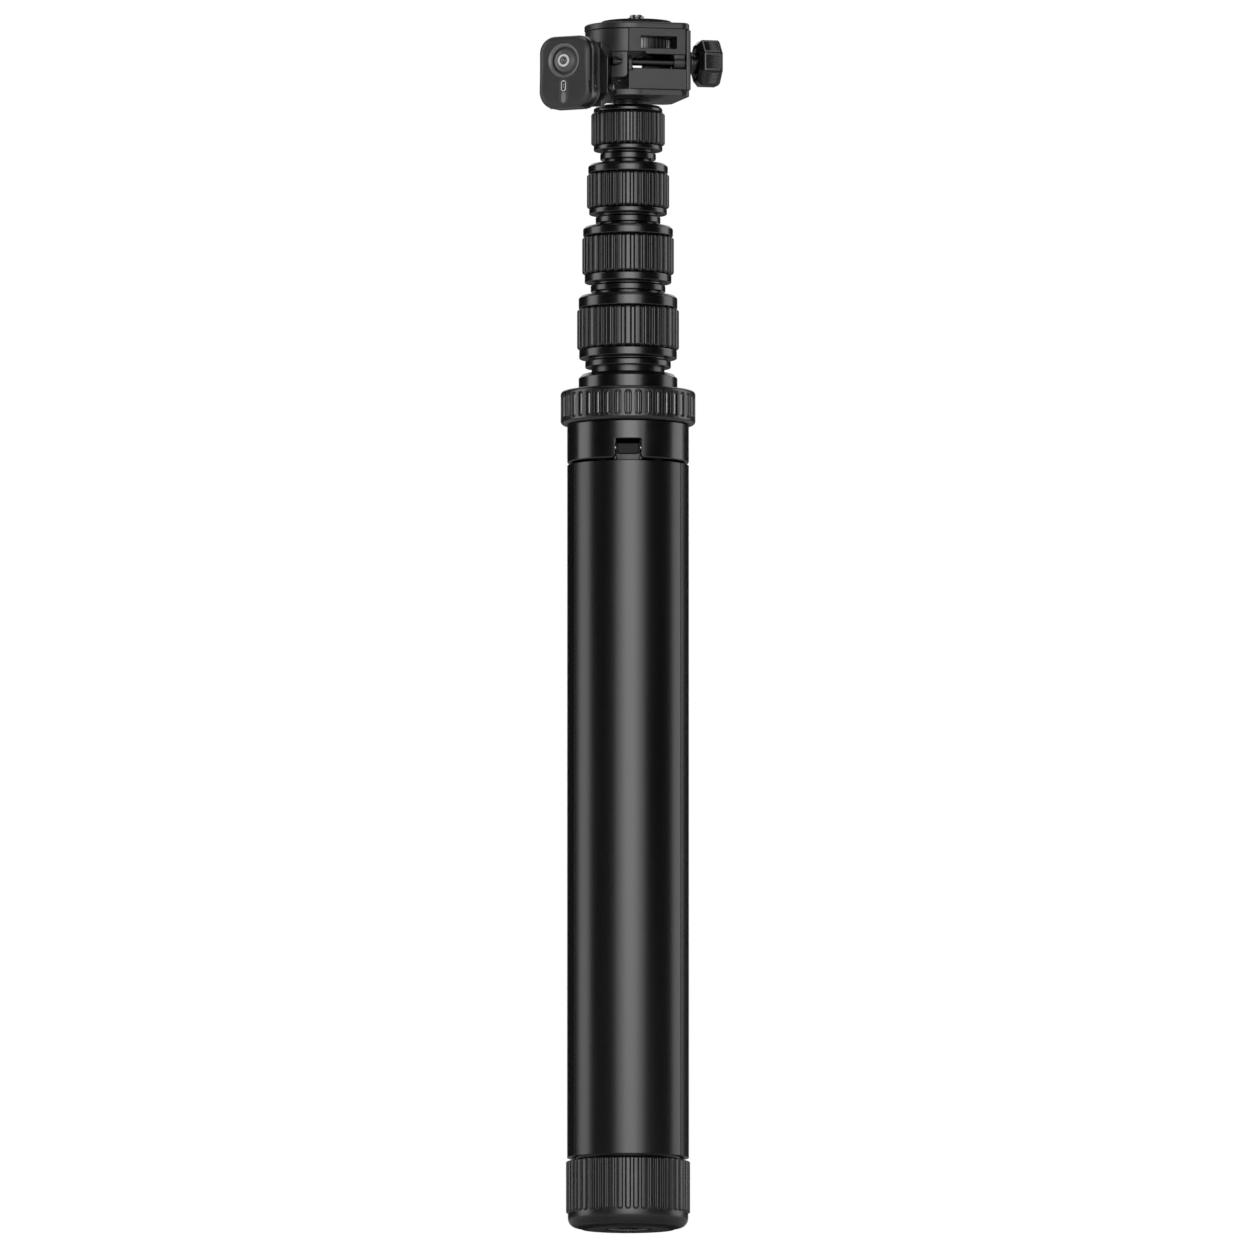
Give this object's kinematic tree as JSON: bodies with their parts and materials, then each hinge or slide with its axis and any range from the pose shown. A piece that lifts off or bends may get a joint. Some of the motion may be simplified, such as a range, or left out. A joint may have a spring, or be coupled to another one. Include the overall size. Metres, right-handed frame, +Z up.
{
  "type": "camera tripod",
  "caption": "Pocket travel tripod, folded: curved legs close round a telescoping column with twist locks, topped by a flip head and a detachable remote.",
  "frame": {"origin": "centre of the foot's resting face, on the pole axis", "axes": "+Z up the pole axis; the front leg faces -Y, and +X is to the right seen from the front"},
  "size_m": [0.0704, 0.0561, 0.4673],
  "materials": {
    "leg_metal": "black anodised, satin",
    "tube_metal": "black anodised, satin",
    "black_plastic": "satin moulded",
    "head_metal": "fine black powder coat",
    "grip_rubber": "semi-matt ribbed",
    "foot_rubber": "matt",
    "bright_steel": "bright machined",
    "dark_steel": "dark oiled",
    "remote_plastic": "fine matt moulded",
    "button_plastic": "satin domed with a white ring",
    "inner_plastic": "natural acetal",
    "board": "green solder mask"
  },
  "bodies": {
    "column": {"base_foot_pad": "foot_rubber", "base_cap": "grip_rubber", "base_screw": "dark_steel", "column_tube": "tube_metal", "lock_base_4": "black_plastic", "lock_sleeve_4": "inner_plastic"},
    "hub": {"hub_collar": "black_plastic", "hub_collet": "inner_plastic", "hub_top_collar": "black_plastic", "leg_hinge_pins": "bright_steel"},
    "column_lock": {"column_lock_ring": "grip_rubber"},
    "leg_1": {"leg_shell_1": "leg_metal", "leg_hinge_1": "black_plastic", "leg_foot_1": "foot_rubber"},
    "leg_2": {"leg_shell_2": "leg_metal", "leg_hinge_2": "black_plastic", "leg_foot_2": "foot_rubber"},
    "leg_3": {"leg_shell_3": "leg_metal", "leg_hinge_3": "black_plastic", "leg_foot_3": "foot_rubber"},
    "stage_4": {"tube_4": "tube_metal", "bushing_4": "inner_plastic", "lock_base_3": "black_plastic", "lock_sleeve_3": "inner_plastic"},
    "lock_4": {"lock_nut_4": "black_plastic", "lock_grip_4": "grip_rubber"},
    "stage_3": {"tube_3": "tube_metal", "bushing_3": "inner_plastic", "lock_base_2": "black_plastic", "lock_sleeve_2": "inner_plastic"},
    "lock_3": {"lock_nut_3": "black_plastic", "lock_grip_3": "grip_rubber"},
    "stage_2": {"tube_2": "tube_metal", "bushing_2": "inner_plastic", "lock_base_1": "black_plastic", "lock_sleeve_1": "inner_plastic"},
    "lock_2": {"lock_nut_2": "black_plastic", "lock_grip_2": "grip_rubber"},
    "stage_1": {"tube_1": "tube_metal", "bushing_1": "inner_plastic", "neck_plug": "head_metal", "pan_bolt": "dark_steel"},
    "lock_1": {"lock_nut_1": "black_plastic", "lock_grip_1": "grip_rubber"},
    "pan_head": {"head_yoke": "head_metal", "tilt_axle": "bright_steel"},
    "tilt_head": {"tilt_body": "head_metal", "left_lug": "head_metal", "top_plate": "head_metal", "top_pad": "foot_rubber", "remote_holder": "black_plastic", "holder_peg": "bright_steel"},
    "clamp_knob": {"tilt_knob": "black_plastic"},
    "screw": {"camera_screw": "bright_steel", "screw_wheel": "dark_steel"},
    "remote": {"remote_front": "remote_plastic", "remote_back": "remote_plastic", "remote_board": "board", "remote_cell": "bright_steel"},
    "button": {"remote_button": "button_plastic"}
  },
  "joints": [
    {"name": "hub_slide", "type": "slide", "parent": "column", "child": "hub", "axis": [0, 0, -1], "range_m": [0, 0.179]},
    {"name": "leg_1_swing", "type": "hinge", "parent": "hub", "child": "leg_1", "pos_m": [0, -0.0204, 0.2985], "axis": [-1, 0, 0], "range_deg": [0, 60]},
    {"name": "leg_2_swing", "type": "hinge", "parent": "hub", "child": "leg_2", "pos_m": [0.01767, 0.0102, 0.2985], "axis": [0.5, -0.866, 0], "range_deg": [0, 60]},
    {"name": "leg_3_swing", "type": "hinge", "parent": "hub", "child": "leg_3", "pos_m": [-0.01767, 0.0102, 0.2985], "axis": [0.5, 0.866, 0], "range_deg": [0, 60]},
    {"name": "column_lock_turn", "type": "hinge", "parent": "hub", "child": "column_lock", "pos_m": [0, 0, 0.315], "axis": [0, 0, 1], "range_deg": [0, 90]},
    {"name": "stage_4_slide", "type": "slide", "parent": "column", "child": "stage_4", "axis": [0, 0, 1], "range_m": [0, 0.285]},
    {"name": "lock_4_turn", "type": "hinge", "parent": "column", "child": "lock_4", "pos_m": [0, 0, 0.346], "axis": [0, 0, 1], "range_deg": [0, 90]},
    {"name": "stage_3_slide", "type": "slide", "parent": "stage_4", "child": "stage_3", "axis": [0, 0, 1], "range_m": [0, 0.31]},
    {"name": "lock_3_turn", "type": "hinge", "parent": "stage_4", "child": "lock_3", "pos_m": [0, 0, 0.374], "axis": [0, 0, 1], "range_deg": [0, 90]},
    {"name": "stage_2_slide", "type": "slide", "parent": "stage_3", "child": "stage_2", "axis": [0, 0, 1], "range_m": [0, 0.33]},
    {"name": "lock_2_turn", "type": "hinge", "parent": "stage_3", "child": "lock_2", "pos_m": [0, 0, 0.399], "axis": [0, 0, 1], "range_deg": [0, 90]},
    {"name": "stage_1_slide", "type": "slide", "parent": "stage_2", "child": "stage_1", "axis": [0, 0, 1], "range_m": [0, 0.35]},
    {"name": "lock_1_turn", "type": "hinge", "parent": "stage_2", "child": "lock_1", "pos_m": [0, 0, 0.423], "axis": [0, 0, 1], "range_deg": [0, 90]},
    {"name": "head_pan", "type": "hinge", "parent": "stage_1", "child": "pan_head", "pos_m": [0, 0, 0.436], "axis": [0, 0, 1], "continuous": true},
    {"name": "head_tilt", "type": "hinge", "parent": "pan_head", "child": "tilt_head", "pos_m": [0.00331, -0.01329, 0.4478], "axis": [0.9703, 0.2419, 0], "range_deg": [0, 90]},
    {"name": "knob_turn", "type": "hinge", "parent": "pan_head", "child": "clamp_knob", "pos_m": [0.00331, -0.01329, 0.4478], "axis": [0.9703, 0.2419, 0], "range_deg": [0, 180]},
    {"name": "camera_screw_turn", "type": "hinge", "parent": "tilt_head", "child": "screw", "pos_m": [0.00325, 0.00081, 0.4555], "axis": [0, 0, 1], "continuous": true},
    {"name": "remote_release", "type": "slide", "parent": "tilt_head", "child": "remote", "axis": [-0.4695, -0.8829, 0], "range_m": [0, 0.03]},
    {"name": "button_press", "type": "slide", "parent": "remote", "child": "button", "axis": [0.4695, 0.8829, 0], "range_m": [0, 0.0008], "stiffness_N_per_m": 1500}
  ],
  "couplings": [
    {"joint": "leg_2_swing", "follows": "leg_1_swing", "ratio": 1},
    {"joint": "leg_3_swing", "follows": "leg_1_swing", "ratio": 1},
    {"joint": "hub_slide", "follows": "leg_1_swing", "m_per_rad": 0.17}
  ]
}
